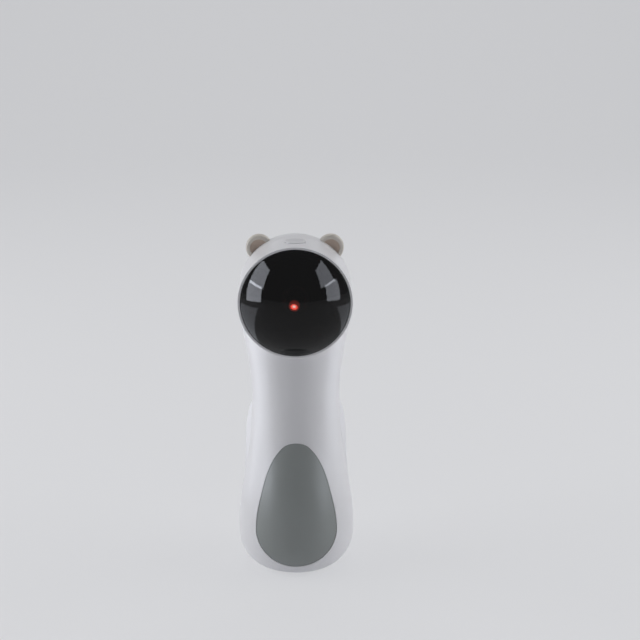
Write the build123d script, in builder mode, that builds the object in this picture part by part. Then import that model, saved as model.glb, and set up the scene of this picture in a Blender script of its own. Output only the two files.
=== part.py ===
from build123d import *
import os
from math import acos, cos, pi, radians, sin, sqrt, tan

# Automatic pet laser tower. Millimetres, +Z up, the face looks along -Y, origin at the middle of the base.
os.makedirs("parts", exist_ok=True)

# Clearances
overrun = 30.0
fit_gap = 0.1
running_gap = 0.06
free_gap = 0.3

# Tower casing: radii of the turned form at their heights
wall = 2.0
seam_depth = 3.0
base_radius = 21.5
belly_radius = 35.8
belly_height = 22.0
thigh_radius = 28.3
thigh_height = 78.0
waist_radius = 26.7
waist_height = 110.0
head_radius = 33.6
face_height = 174.5

# Haunches of the rear casing
haunch_radius = 31.9
haunch_height = 79.5
haunch_top = 103.4
haunch_foot_radius = 33.3
haunch_foot_height = 50.0
haunch_root_radius = 25.5
haunch_sink = 1.0
haunch_lean = radians(60)
haunch_taper = radians(5)
haunch_edge = 1.0

# Rubber pad under the base
pad_radius = 19.5
pad_thickness = 1.6
pad_proud = 0.8

# Face collar and dome
collar_radius = 33.1
collar_edge = 1.1
face_depth = 30.4
chin_gap = 0.3
dome_radius = 31.8
dome_height = 14.0
dome_wall = 1.8
dome_rim_radius = 28.3
rebate_depth = 2.0
ledge_thickness = 2.0
ledge_radius = 30.0
leg_count = 4
leg_width = 6.0
leg_thickness = 1.0
leg_inset = 0.3
leg_hook = 0.9
leg_hook_height = 1.2

# Belly panel, an egg seen from the front
panel_half_width = 24.4
panel_bottom = 9.5
panel_wide_height = 31.0
panel_top = 86.9
panel_shares = ((0.87, 0.38), (0.70, 0.65), (0.36, 0.926))
panel_thickness = 1.4
panel_sink = 0.2
panel_gap = 0.25
panel_backing = 1.6
panel_lap = 2.0
stud_radius = 1.3
stud_length = 4.0
stud_spread = 13.0
stud_low = 26.0
stud_high = 58.0

# Ears, held at the seam
ear_radius = 7.75
ear_reach = 33.2
ear_angle = 39.7
ear_thickness = 7.0
ear_front_edge = 1.1
ear_back_edge = 2.8
ear_seat_gap = 0.05
tang_width = 5.0
tang_thickness = 3.0
foot_width = 8.0
foot_thickness = 1.4
foot_gap = 0.8
ear_pad_radius = 5.2
ear_pad_thickness = 1.4
ear_pad_sink = 0.6
ear_pad_dish = 0.8

# Crown button, switch and switch board
button_depth = 15.0
button_radius = 6.0
button_proud = 0.4
button_dish = 0.7
button_edge = 0.5
button_height = 4.6
button_gap = 0.2
button_flange_radius = 7.6
button_flange = 1.0
button_travel = 0.7
button_rest_gap = 0.05
stem_radius = 1.6
stem_length = 1.0
guide_radius = 8.4
plunger_radius = 1.7
plunger_proud = 0.9
plunger_length = 1.4
switch_size = 6.0
switch_height = 3.5
switch_board_width = 26.0
switch_board_length = 10.0
switch_board_thickness = 1.2
switch_post_spread = 10.5
switch_post_radius = 2.3

# Screws: pan heads, one size for the casing and one for the small pieces
case_head_radius = 2.4
case_head_height = 1.7
case_shank_radius = 1.2
case_screw_length = 16.0
case_boss_radius = 3.1
case_seat_rise = 8.0
waist_screw_spread = 14.5
waist_screw_height = 91.0
neck_screw_spread = 17.0
neck_screw_height = 146.0
base_screw_height = 8.0
small_head_radius = 1.8
small_head_height = 1.2
small_shank_radius = 0.9
small_screw_length = 6.0
recess_width = 0.5
recess_depth = 0.7
recess_reach_share = 0.65

# Drive train: modules, tooth counts and the layers that the gears turn in
rotor_module = 0.6
train_module = 0.5
rotor_teeth = 60
pinion_teeth = 12
second_teeth = 40
first_teeth = 36
motor_teeth = 10
pressure_angle = radians(25)
addendum_share = 0.8
dedendum_share = 1.1
backlash = 0.12
second_bearing = radians(-40)
first_bearing = radians(215)
motor_bearing = radians(165)
rotor_face = 3.0
train_face = 2.4
layer_gap = 0.6
hub_radius = 2.0
small_hub_radius = 1.6
axle_radius = 0.75
axle_seat = 1.0

# Mechanism chassis: a front plate with four arms, three pillars and a gear plate behind them
plate_radius = 20.2
plate_thickness = 2.0
plate_front = 18.5
gear_plate_thickness = 1.6
gear_plate_bore = 12.0
lobe_radius = 3.4
pillar_radius = 2.4
pillar_reach = 22.5
pillar_angles = (20, 150, 225)
arm_angles = (20, 160, 200, 340)
arm_reach = 28.0
arm_radius = 2.8
chassis_boss_radius = 3.4
bearing_radius = 10.5
bearing_length = 2.6

# Rotor and laser: the laser's axis crosses the rotor's axis at the pivot
pivot_depth = 25.0
beam_tilt = radians(20)
beam_turn = radians(250)
journal_radius = 8.0
journal_front = 21.4
thrust_radius = 10.0
thrust_gap = 0.1
clip_radius = 9.6
clip_thickness = 0.8
barrel_radius = 3.0
barrel_front = 6.0
barrel_length = 18.5
barrel_edge = 0.3
lens_radius = 2.0
lens_thickness = 1.0
lens_sink = 0.5
holder_radius = 3.8
flange_radius = 4.8
flange_thickness = 1.0
flange_back = 5.35
holder_back = 15.9
ring_radius = 4.7
ring_back = 15.6
ring_thickness = 0.9
driver_width = 4.4
driver_length = 5.6
driver_thickness = 1.0
driver_recess = 2.6

# Motor
motor_width = 12.0
motor_height = 10.0
motor_length = 15.0
motor_nose_radius = 2.0
motor_nose = 0.9
motor_cap_length = 1.4
motor_cap_inset = 0.5
motor_socket_wall = 1.4
motor_socket_depth = 6.0
terminal_width = 1.6
terminal_length = 2.2
terminal_thickness = 0.4
terminal_spread = 3.4

# Main circuit board in the waist
board_width = 30.0
board_bottom = 98.0
board_top = 141.0
board_thickness = 1.6
board_depth = 8.0
board_corner = 1.5
board_post_spread = 11.5
board_post_inset = 4.0
board_post_radius = 2.6
chip_width = 8.0
chip_length = 9.0
chip_height = 1.7
chip_rise = 4.0
capacitor_radius = 3.0
capacitor_length = 8.0
capacitor_side = 9.0
plug_width = 9.0
plug_length = 5.0
plug_height = 4.5
plug_inset = 7.0

# Battery bay: upright AA cells side by side, with a leaf at one end of each and a plate at the other
cell_count = 3
cell_radius = 7.25
cell_length = 49.2
nub_radius = 2.75
nub_height = 1.3
cell_pitch = 15.2
cell_depth = 15.2
bay_wall = 1.5
bay_side_gap = 0.7
bay_floor = 7.5
bay_bottom = 16.0
leaf_height = 5.0
leaf_width = 9.0
leaf_span = 11.0
leaf_gauge = 0.4
leaf_step_share = 0.35
contact_size = 11.0
contact_thickness = 0.5

# Battery door
door_lap = 1.1
door_thickness = 2.0
door_gap = 0.25
door_lift_gap = 0.7
heel_height = 4.0
heel_depth = 1.0
door_bottom = 14.0
door_top = 76.0
door_corner = 5.0
door_backing = 1.5
tongue_spread = 12.0
tongue_width = 6.0
tongue_reach = 5.0
tongue_root = 4.0
tongue_thickness = 1.3
tongue_gap = 0.4
notch_depth = 7.0
notch_gap = 0.5
thumb_radius = 9.0
thumb_depth = 1.3

# Worked out from the values above
crown_height = face_height + collar_radius
ledge_back = face_depth - rebate_depth - ledge_thickness
plate_back = plate_front - plate_thickness
rotor_front = plate_back - layer_gap
rotor_back = rotor_front - rotor_face
second_front = rotor_back - layer_gap
second_back = second_front - train_face
first_front = second_back - layer_gap
first_back = first_front - train_face
gear_plate_front = first_back - layer_gap
gear_plate_back = gear_plate_front - gear_plate_thickness
rotor_centres = rotor_module * (rotor_teeth + pinion_teeth) / 2
second_centres = train_module * (second_teeth + pinion_teeth) / 2
first_centres = train_module * (first_teeth + motor_teeth) / 2
second_place = (rotor_centres * cos(second_bearing), rotor_centres * sin(second_bearing))
first_place = (
    second_place[0] + second_centres * cos(first_bearing),
    second_place[1] + second_centres * sin(first_bearing),
)
motor_place = (
    first_place[0] + first_centres * cos(motor_bearing),
    first_place[1] + first_centres * sin(motor_bearing),
)
bay_width = cell_count * cell_pitch + 2 * bay_side_gap
bay_height = cell_length + nub_height + leaf_height + contact_thickness
bay_top = bay_bottom + bay_height
bay_middle = (bay_bottom + bay_top) / 2
door_width = bay_width + 2 * door_lap
cell_sides = [(index - (cell_count - 1) / 2) * cell_pitch for index in range(cell_count)]


def facing(depth, side=0, height=0):
    """Plane that looks forward, `depth` in front of the tower's axis; its x is +X and its y is +Z."""
    return Plane((side, -depth, height), x_dir=(1, 0, 0), z_dir=(0, -1, 0))


def on_face(depth, place=(0, 0)):
    """Plane that looks forward, centred on the face's axis or at a place beside it."""
    return facing(depth, place[0], face_height + place[1])


def on_beam(reach):
    """Plane across the laser's axis, `reach` in front of the pivot."""
    lean = sin(beam_tilt)
    aim = (lean * cos(beam_turn), -cos(beam_tilt), lean * sin(beam_turn))
    return Plane((0, -pivot_depth, face_height), x_dir=(-sin(beam_turn), 0, cos(beam_turn)), z_dir=aim).offset(reach)


def around(radius, angle):
    """Point at `radius` and `angle` in degrees on a sketch."""
    return (radius * cos(radians(angle)), radius * sin(radians(angle)))


def tower_profile(inset):
    """Half section of the tower, from its axis to `inset` inside its outer skin."""
    low = pad_proud + inset
    with BuildSketch(Plane.XZ) as profile:
        with BuildLine():
            Line((0, low), (base_radius, low))
            EllipticalCenterArc(
                (base_radius, belly_height),
                belly_radius - base_radius - inset,
                belly_height - low,
                start_angle=270,
                arc_size=90,
            )
            Spline(
                (belly_radius - inset, belly_height),
                (thigh_radius - inset, thigh_height),
                (waist_radius - inset, waist_height),
                tangents=[(0, 1), (0, 1)],
            )
            Spline(
                (waist_radius - inset, waist_height),
                (head_radius - inset, face_height),
                tangents=[(0, 1), (0, 1)],
            )
            CenterArc((0, face_height), head_radius - inset, 0, 90)
            Line((0, face_height + head_radius - inset), (0, low))
        make_face()
    return profile.sketch


def haunch_profile(inset):
    """Section of the haunch ring, `inset` inside its outer skin."""
    root = haunch_root_radius - inset
    crest = haunch_radius - inset
    with BuildSketch(Plane.XZ) as profile:
        with BuildLine():
            Polyline((root, haunch_top - inset), (root, belly_height), (belly_radius - haunch_sink - inset, belly_height))
            Spline(
                (belly_radius - haunch_sink - inset, belly_height),
                (haunch_foot_radius - inset, haunch_foot_height),
                (crest, haunch_height),
                tangents=[(0, 1), (0, 1)],
            )
            EllipticalCenterArc(
                (root, haunch_height),
                crest - root,
                haunch_top - inset - haunch_height,
                start_angle=0,
                arc_size=90,
            )
        make_face()
    return profile.sketch


def haunch_ring(inset):
    """Haunches behind the seam, `inset` inside their skin, with front ends that lean back along the flanks."""
    with BuildPart() as ring:
        revolve(haunch_profile(inset), axis=Axis.Z)
        split(bisect_by=facing(-seam_depth - inset), keep=Keep.BOTTOM)
        for side in (-1, 1):
            front_end = Plane(
                (side * thigh_radius, seam_depth, thigh_height),
                x_dir=(-side * sin(haunch_taper), 0, cos(haunch_taper)),
                z_dir=(
                    side * sin(haunch_lean) * cos(haunch_taper),
                    -cos(haunch_lean) * cos(haunch_taper),
                    sin(haunch_lean) * sin(haunch_taper),
                ),
            )
            split(bisect_by=front_end.offset(-inset), keep=Keep.BOTTOM)
    return ring.part


def belly_outline(grow):
    """Egg outline of the belly panel, `grow` outside its edge."""
    half = panel_half_width + grow
    rise = panel_top - panel_wide_height
    shoulders = [
        (across * half, panel_wide_height + along * (rise + grow))
        for across, along in panel_shares
    ]
    with BuildSketch(facing(0)) as outline:
        with BuildLine():
            EllipticalCenterArc(
                (0, panel_wide_height),
                half,
                panel_wide_height - panel_bottom + grow,
                start_angle=270,
                arc_size=90,
            )
            Spline(
                (half, panel_wide_height),
                *shoulders,
                (0, panel_top + grow),
                tangents=[(0, 1), (-1, 0)],
            )
            mirror(about=Plane.YZ)
        make_face()
    return outline.sketch


def door_outline(grow, top):
    """Outline of the battery door up to `top`, `grow` outside its edge, on the plane of the tower's axis."""
    with BuildSketch(facing(0)) as outline:
        with Locations((0, (door_bottom + top) / 2)):
            RectangleRounded(door_width + 2 * grow, top - door_bottom + 2 * grow, door_corner + grow)
    return outline.sketch


def tongue_outline(low, high, grow):
    """Outlines of the two tongues between two heights, `grow` wider on each side."""
    with BuildSketch(facing(0)) as outline:
        with Locations((-tongue_spread, (low + high) / 2), (tongue_spread, (low + high) / 2)):
            Rectangle(tongue_width + 2 * grow, high - low)
    return outline.sketch


def gear_outline(plane, module, teeth, turn):
    """Spur gear outline with stub involute teeth; a tooth is centred at the angle `turn`."""
    pitch = module * teeth / 2
    base = pitch * cos(pressure_angle)
    root = pitch - dedendum_share * module
    tip = pitch + addendum_share * module
    half = pi / (2 * teeth) - backlash / (4 * pitch) + tan(pressure_angle) - pressure_angle

    def flank(radius):
        slant = acos(min(1, base / radius))
        return half - (tan(slant) - slant)

    corners = []
    for tooth in range(teeth):
        middle = turn + 2 * pi * tooth / teeth
        rising = [(radius, middle - flank(radius)) for radius in (root, pitch, tip)]
        falling = [(radius, middle + flank(radius)) for radius in (tip, pitch, root)]
        corners += [(radius * cos(angle), radius * sin(angle)) for radius, angle in rising + falling]
    with BuildSketch(plane) as outline:
        with BuildLine():
            Polyline(*corners, close=True)
        make_face()
    return outline.sketch


def pan_screws(seats, head, head_height, shank_radius, length):
    """Pan-head screws: each head stands on its seat plane and its shank goes in below."""
    reach = 2 * head * recess_reach_share
    with BuildPart() as screws:
        for seat in seats:
            with BuildSketch(seat):
                Circle(head)
            extrude(amount=head_height)
            with BuildSketch(seat):
                Circle(shank_radius)
            extrude(amount=-length)
            with BuildSketch(seat.offset(head_height)):
                Rectangle(reach, recess_width)
                Rectangle(recess_width, reach)
            extrude(amount=-recess_depth, mode=Mode.SUBTRACT)
    return screws


# Front casing: outer form, hollow core, and the bosses inside it
with BuildPart() as front_form:
    revolve(tower_profile(0), axis=Axis.Z)
    with BuildSketch(on_face(0)):
        Circle(collar_radius)
    extrude(amount=face_depth)
    with BuildSketch(on_face(face_depth)):
        Circle(collar_radius + chin_gap)
    extrude(amount=overrun, mode=Mode.SUBTRACT)
    crown_edges = front_form.edges().filter_by_position(Axis.Z, crown_height - fit_gap, crown_height + fit_gap)
    fillet(crown_edges.sort_by(Axis.Y)[0], collar_edge)
    split(bisect_by=facing(-seam_depth), keep=Keep.TOP)

with BuildPart() as front_core:
    revolve(tower_profile(wall), axis=Axis.Z)
    with BuildSketch(on_face(ledge_back)):
        Circle(collar_radius)
    extrude(amount=overrun, mode=Mode.SUBTRACT)
    with BuildSketch(on_face(0)):
        Circle(collar_radius - wall)
    extrude(amount=ledge_back)

arm_places = [around(arm_reach, angle) for angle in arm_angles]
pillar_places = [around(pillar_reach, angle) for angle in pillar_angles]
case_places = (
    (-waist_screw_spread, waist_screw_height),
    (waist_screw_spread, waist_screw_height),
    (-neck_screw_spread, neck_screw_height),
    (neck_screw_spread, neck_screw_height),
    (0, base_screw_height),
)
board_post_places = [
    (side * board_post_spread, height)
    for side in (-1, 1)
    for height in (board_bottom + board_post_inset, board_top - board_post_inset)
]
with BuildPart() as front_bosses:
    with BuildSketch(facing(-seam_depth)):
        with Locations(*case_places):
            Circle(case_boss_radius)
    extrude(amount=seam_depth + belly_radius)
    with BuildSketch(facing(board_depth)):
        with Locations(*board_post_places):
            Circle(board_post_radius)
    extrude(amount=belly_radius)
    add(front_form.part, mode=Mode.INTERSECT)
    with BuildSketch(on_face(plate_front)):
        with Locations(*arm_places):
            Circle(chassis_boss_radius)
    extrude(amount=ledge_back - plate_front)

switch_board_top = crown_height - button_height - button_flange - stem_length - plunger_proud - switch_height
crown_plane = Plane((0, -button_depth, crown_height), x_dir=(1, 0, 0), z_dir=(0, 0, 1))
switch_plane = Plane((0, -button_depth, switch_board_top), x_dir=(1, 0, 0), z_dir=(0, 0, 1))
with BuildPart() as crown_bosses:
    with BuildSketch(crown_plane.offset(-button_height)):
        Circle(guide_radius)
    extrude(amount=button_height)
    with BuildSketch(switch_plane):
        with Locations((-switch_post_spread, 0), (switch_post_spread, 0)):
            Circle(switch_post_radius)
    extrude(amount=crown_height - switch_board_top)
    add(front_form.part, mode=Mode.INTERSECT)

with BuildPart() as panel_pad:
    revolve(tower_profile(panel_sink + panel_thickness), axis=Axis.Z)
    revolve(tower_profile(panel_sink + panel_thickness + panel_backing), axis=Axis.Z, mode=Mode.SUBTRACT)
    extrude(belly_outline(panel_lap), amount=belly_radius + overrun, mode=Mode.INTERSECT)

with BuildPart() as panel_pocket:
    extrude(belly_outline(panel_gap), amount=belly_radius + overrun)
    revolve(tower_profile(panel_sink + panel_thickness), axis=Axis.Z, mode=Mode.SUBTRACT)

ear_sides = {"left": -1, "right": 1}
ear_planes = {
    name: Plane(
        (
            side * ear_reach * sin(radians(ear_angle)),
            seam_depth,
            face_height + ear_reach * cos(radians(ear_angle)),
        ),
        x_dir=(cos(radians(ear_angle)), 0, -side * sin(radians(ear_angle))),
        z_dir=(0, -1, 0),
    )
    for name, side in ear_sides.items()
}
tang_drop = ear_reach - head_radius + wall
with BuildPart() as ear_slots:
    for plane in ear_planes.values():
        with BuildSketch(plane):
            with Locations((0, -ear_reach + head_radius)):
                Rectangle(tang_width + 2 * fit_gap, 2 * tang_drop + 2 * wall)
        extrude(amount=tang_thickness / 2 + fit_gap, both=True)

stud_places = [(side * stud_spread, height) for side in (-1, 1) for height in (stud_low, stud_high)]
with BuildPart() as front_shell:
    add(front_form.part)
    add(front_core.part, mode=Mode.SUBTRACT)
    add(front_bosses.part)
    with BuildSketch(on_face(face_depth)):
        Circle(dome_radius + fit_gap)
    extrude(amount=-rebate_depth, mode=Mode.SUBTRACT)
    with BuildSketch(on_face(ledge_back)):
        Circle(ledge_radius)
    extrude(amount=overrun, mode=Mode.SUBTRACT)
    add(crown_bosses.part)
    add(panel_pad.part)
    add(panel_pocket.part, mode=Mode.SUBTRACT)
    add(ear_slots.part, mode=Mode.SUBTRACT)
    with BuildSketch(crown_plane.offset(-button_height)):
        Circle(button_radius + button_gap)
    extrude(amount=overrun, mode=Mode.SUBTRACT)
    with BuildSketch(facing(0)):
        with Locations(*stud_places):
            Circle(stud_radius + fit_gap)
    extrude(amount=belly_radius + overrun, mode=Mode.SUBTRACT)
    with BuildSketch(facing(-seam_depth)):
        with Locations(*case_places):
            Circle(case_shank_radius)
    extrude(amount=case_screw_length - case_seat_rise, mode=Mode.SUBTRACT)
    with BuildSketch(facing(board_depth)):
        with Locations(*board_post_places):
            Circle(small_shank_radius)
    extrude(amount=small_screw_length - board_thickness, mode=Mode.SUBTRACT)
    with BuildSketch(on_face(plate_front)):
        with Locations(*arm_places):
            Circle(small_shank_radius)
    extrude(amount=small_screw_length - plate_thickness, mode=Mode.SUBTRACT)
    with BuildSketch(switch_plane):
        with Locations((-switch_post_spread, 0), (switch_post_spread, 0)):
            Circle(small_shank_radius)
    extrude(amount=small_screw_length - switch_board_thickness, mode=Mode.SUBTRACT)
    with BuildSketch(Plane.XY):
        Circle(pad_radius + fit_gap)
    extrude(amount=pad_thickness, mode=Mode.SUBTRACT)

# Rear casing with its haunches, battery bay and door seat
haunch_skin = haunch_ring(0)
haunch_core = haunch_ring(wall)
with BuildPart() as haunches:
    add(haunch_skin)
    front_ends = haunches.faces().filter_by(GeomType.PLANE).sort_by(Axis.X)
    brow_edges = front_ends[0].edges() + front_ends[-1].edges()
    fillet(brow_edges.filter_by(GeomType.LINE, reverse=True), haunch_edge)

with BuildPart() as rear_form:
    revolve(tower_profile(0), axis=Axis.Z)
    split(bisect_by=facing(-seam_depth), keep=Keep.BOTTOM)
    add(haunches.part)

with BuildPart() as bay_block:
    with BuildSketch(facing(-bay_floor + bay_wall)):
        with Locations((0, bay_middle)):
            Rectangle(bay_width + 2 * bay_wall, bay_height + 2 * bay_wall)
    extrude(amount=-belly_radius)
    with BuildSketch(facing(-seam_depth)):
        with Locations(*case_places):
            Circle(case_boss_radius)
    extrude(amount=-belly_radius)
    add(rear_form.part, mode=Mode.INTERSECT)

with BuildPart() as door_ledge:
    extrude(door_outline(bay_wall, door_top), amount=-belly_radius - overrun)
    add(rear_form.part, mode=Mode.INTERSECT)
    revolve(tower_profile(door_thickness + door_backing), axis=Axis.Z, mode=Mode.SUBTRACT)
    revolve(haunch_profile(door_thickness + door_backing), axis=Axis.Z, mode=Mode.SUBTRACT)

with BuildPart() as door_pocket:
    extrude(door_outline(door_gap, door_top), amount=-belly_radius - overrun)
    revolve(tower_profile(door_thickness + fit_gap), axis=Axis.Z, mode=Mode.SUBTRACT)
    revolve(haunch_profile(door_thickness + fit_gap), axis=Axis.Z, mode=Mode.SUBTRACT)

with BuildPart() as heel_relief:
    extrude(door_outline(door_gap, door_top), amount=-belly_radius - overrun)
    split(bisect_by=Plane.XY.offset(door_bottom + heel_height), keep=Keep.BOTTOM)
    revolve(tower_profile(door_thickness + heel_depth), axis=Axis.Z, mode=Mode.SUBTRACT)

with BuildPart() as tongue_notches:
    extrude(
        tongue_outline(door_bottom - tongue_reach - notch_gap, door_bottom + tongue_root + notch_gap, notch_gap),
        amount=-belly_radius,
    )
    revolve(tower_profile(wall), axis=Axis.Z, mode=Mode.INTERSECT)
    revolve(tower_profile(wall + notch_depth), axis=Axis.Z, mode=Mode.SUBTRACT)

with BuildPart() as rear_shell:
    add(rear_form.part)
    revolve(tower_profile(wall), axis=Axis.Z, mode=Mode.SUBTRACT)
    add(haunch_core, mode=Mode.SUBTRACT)
    add(door_ledge.part)
    add(bay_block.part)
    add(door_pocket.part, mode=Mode.SUBTRACT)
    add(heel_relief.part, mode=Mode.SUBTRACT)
    add(tongue_notches.part, mode=Mode.SUBTRACT)
    add(ear_slots.part, mode=Mode.SUBTRACT)
    with BuildSketch(facing(-bay_floor)):
        with Locations((0, bay_middle)):
            Rectangle(bay_width, bay_height)
    extrude(amount=-belly_radius, mode=Mode.SUBTRACT)
    with BuildSketch(facing(-seam_depth)):
        with Locations(*case_places):
            Circle(case_shank_radius + fit_gap)
    extrude(amount=-case_seat_rise, mode=Mode.SUBTRACT)
    with BuildSketch(facing(-seam_depth - case_seat_rise)):
        with Locations(*case_places):
            Circle(case_head_radius + free_gap)
    extrude(amount=-belly_radius, mode=Mode.SUBTRACT)
    with Locations((0, haunch_radius + thumb_radius - thumb_depth, door_top)):
        Sphere(thumb_radius, mode=Mode.SUBTRACT)
    with BuildSketch(Plane.XY):
        Circle(pad_radius + fit_gap)
    extrude(amount=pad_thickness, mode=Mode.SUBTRACT)

with BuildPart() as door_tongues:
    extrude(
        tongue_outline(door_bottom - tongue_reach, door_bottom + tongue_root, 0),
        amount=-belly_radius,
    )
    revolve(tower_profile(wall + tongue_gap), axis=Axis.Z, mode=Mode.INTERSECT)
    revolve(tower_profile(wall + tongue_gap + tongue_thickness), axis=Axis.Z, mode=Mode.SUBTRACT)

with BuildPart() as tongue_roots:
    extrude(
        tongue_outline(door_bottom + tongue_gap, door_bottom + tongue_root, 0),
        amount=-belly_radius,
    )
    revolve(tower_profile(wall / 2), axis=Axis.Z, mode=Mode.INTERSECT)
    revolve(tower_profile(wall + tongue_gap + tongue_thickness), axis=Axis.Z, mode=Mode.SUBTRACT)

with BuildPart() as battery_door:
    extrude(door_outline(0, door_top - door_lift_gap), amount=-belly_radius - overrun)
    add(rear_form.part, mode=Mode.INTERSECT)
    revolve(tower_profile(door_thickness), axis=Axis.Z, mode=Mode.SUBTRACT)
    revolve(haunch_profile(door_thickness), axis=Axis.Z, mode=Mode.SUBTRACT)
    add(tongue_roots.part)
    add(door_tongues.part)

with BuildPart() as base_pad:
    with BuildSketch(Plane.XY):
        Circle(pad_radius)
    extrude(amount=pad_thickness)
    fillet(base_pad.edges().group_by(Axis.Z)[0], pad_proud / 2)

# Dome: a spherical cap on a thick rim, with snap legs behind the ledge
dome_sphere = (dome_radius**2 + dome_height**2) / (2 * dome_height)
dome_middle = face_depth + dome_height - dome_sphere
dome_inner = dome_sphere - dome_wall
rim_front = dome_middle + sqrt(dome_inner**2 - dome_rim_radius**2)
rim_back = face_depth - rebate_depth
face_axis = Axis((0, 0, face_height), (0, -1, 0))
dome_section = Plane((0, 0, face_height), x_dir=(1, 0, 0), z_dir=(0, 0, 1))
with BuildPart() as face_dome:
    with BuildSketch(dome_section):
        with BuildLine():
            RadiusArc((0, -face_depth - dome_height), (dome_radius, -face_depth), -dome_sphere)
            Polyline(
                (dome_radius, -face_depth),
                (dome_radius, -rim_back),
                (dome_rim_radius, -rim_back),
                (dome_rim_radius, -rim_front),
            )
            RadiusArc((dome_rim_radius, -rim_front), (0, -dome_middle - dome_inner), dome_inner)
            Line((0, -dome_middle - dome_inner), (0, -face_depth - dome_height))
        make_face()
    revolve(axis=face_axis)
    leg_reach = dome_rim_radius + leg_inset
    leg_length = ledge_thickness + free_gap + leg_hook_height
    with BuildSketch(on_face(rim_back)):
        with PolarLocations(leg_reach + leg_thickness / 2, leg_count, start_angle=45):
            Rectangle(leg_thickness, leg_width)
    extrude(amount=-leg_length)
    with BuildSketch(on_face(ledge_back - free_gap)):
        with PolarLocations(leg_reach + (leg_thickness + leg_hook) / 2, leg_count, start_angle=45):
            Rectangle(leg_thickness + leg_hook, leg_width)
    extrude(amount=-leg_hook_height)

# Belly panel with press studs
with BuildPart() as panel_studs:
    with BuildSketch(facing(0)):
        with Locations(*stud_places):
            Circle(stud_radius)
    extrude(amount=belly_radius)
    revolve(tower_profile(panel_sink + panel_thickness / 2), axis=Axis.Z, mode=Mode.INTERSECT)
    revolve(tower_profile(panel_sink + panel_thickness + stud_length), axis=Axis.Z, mode=Mode.SUBTRACT)

with BuildPart() as belly_panel:
    revolve(tower_profile(panel_sink), axis=Axis.Z)
    revolve(tower_profile(panel_sink + panel_thickness), axis=Axis.Z, mode=Mode.SUBTRACT)
    extrude(belly_outline(0), amount=belly_radius + overrun, mode=Mode.INTERSECT)
    add(panel_studs.part)

# Ears with their pads
ears = {}
ear_pads = {}
pocket_depth = ear_pad_thickness + ear_pad_sink
for name, plane in ear_planes.items():
    with BuildPart() as ear:
        with BuildSketch(plane.offset(-ear_thickness / 2)):
            Circle(ear_radius)
        extrude(amount=ear_thickness)
        fillet(ear.edges().sort_by(Axis.Y)[0], ear_front_edge)
        fillet(ear.edges().sort_by(Axis.Y)[-1], ear_back_edge)
        with BuildSketch(plane.offset(ear_thickness / 2)):
            Circle(ear_pad_radius + fit_gap)
        extrude(amount=-pocket_depth, mode=Mode.SUBTRACT)
        with Locations((0, 0, face_height)):
            Sphere(head_radius + ear_seat_gap, mode=Mode.SUBTRACT)
        with BuildSketch(plane):
            with Locations((0, -tang_drop / 2)):
                Rectangle(tang_width, tang_drop + 2 * foot_gap)
            with Locations((0, -tang_drop - foot_gap - foot_thickness / 2)):
                Rectangle(foot_width, foot_thickness)
        extrude(amount=tang_thickness / 2, both=True)
    with BuildPart() as ear_pad:
        with BuildSketch(plane.offset(ear_thickness / 2 - pocket_depth)):
            Circle(ear_pad_radius)
        extrude(amount=ear_pad_thickness)
        dish = (ear_pad_radius**2 + ear_pad_dish**2) / (2 * ear_pad_dish)
        with Locations(plane.offset(ear_thickness / 2 - ear_pad_sink - ear_pad_dish + dish).origin):
            Sphere(dish, mode=Mode.SUBTRACT)
        with Locations((0, 0, face_height)):
            Sphere(head_radius + ear_seat_gap, mode=Mode.SUBTRACT)
        with BuildSketch(plane):
            with Locations((0, -tang_drop / 2)):
                Rectangle(tang_width + 2 * fit_gap, tang_drop + 2 * foot_gap)
        extrude(amount=tang_thickness / 2, both=True, mode=Mode.SUBTRACT)
    ears[name] = ear
    ear_pads[name] = ear_pad

# Crown button, its switch and the switch board
flange_top = -button_height - button_rest_gap
with BuildPart() as crown_button:
    with BuildSketch(crown_plane.offset(flange_top)):
        Circle(button_radius)
    extrude(amount=-flange_top + button_proud)
    fillet(crown_button.edges().group_by(Axis.Z)[-1], button_edge)
    dish_radius = (button_radius**2 + button_dish**2) / (2 * button_dish)
    with Locations(crown_plane.offset(button_proud - button_dish + dish_radius).origin):
        Sphere(dish_radius, mode=Mode.SUBTRACT)
    with BuildSketch(crown_plane.offset(flange_top - button_flange)):
        Circle(button_flange_radius)
    extrude(amount=button_flange)
    with BuildSketch(crown_plane.offset(flange_top - button_flange)):
        Circle(stem_radius)
    extrude(amount=button_rest_gap - stem_length)

switch_top = switch_plane.offset(switch_height)
well_depth = plunger_length - plunger_proud + button_travel + free_gap
with BuildPart() as switch_plunger:
    with BuildSketch(switch_top.offset(plunger_proud)):
        Circle(plunger_radius)
    extrude(amount=-plunger_length)

with BuildPart() as tact_switch:
    with BuildSketch(switch_plane):
        Rectangle(switch_size, switch_size)
    extrude(amount=switch_height)
    with BuildSketch(switch_top):
        Circle(plunger_radius + running_gap)
    extrude(amount=-well_depth, mode=Mode.SUBTRACT)

with BuildPart() as switch_board:
    with BuildSketch(switch_plane):
        Rectangle(switch_board_width, switch_board_length)
        with Locations((-switch_post_spread, 0), (switch_post_spread, 0)):
            Circle(small_shank_radius + fit_gap, mode=Mode.SUBTRACT)
    extrude(amount=-switch_board_thickness)

switch_screw_seats = [
    Plane(
        (side * switch_post_spread, -button_depth, switch_board_top - switch_board_thickness),
        x_dir=(1, 0, 0),
        z_dir=(0, 0, -1),
    )
    for side in (-1, 1)
]
switch_screws = pan_screws(
    switch_screw_seats, small_head_radius, small_head_height, small_shank_radius, small_screw_length
)

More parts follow.
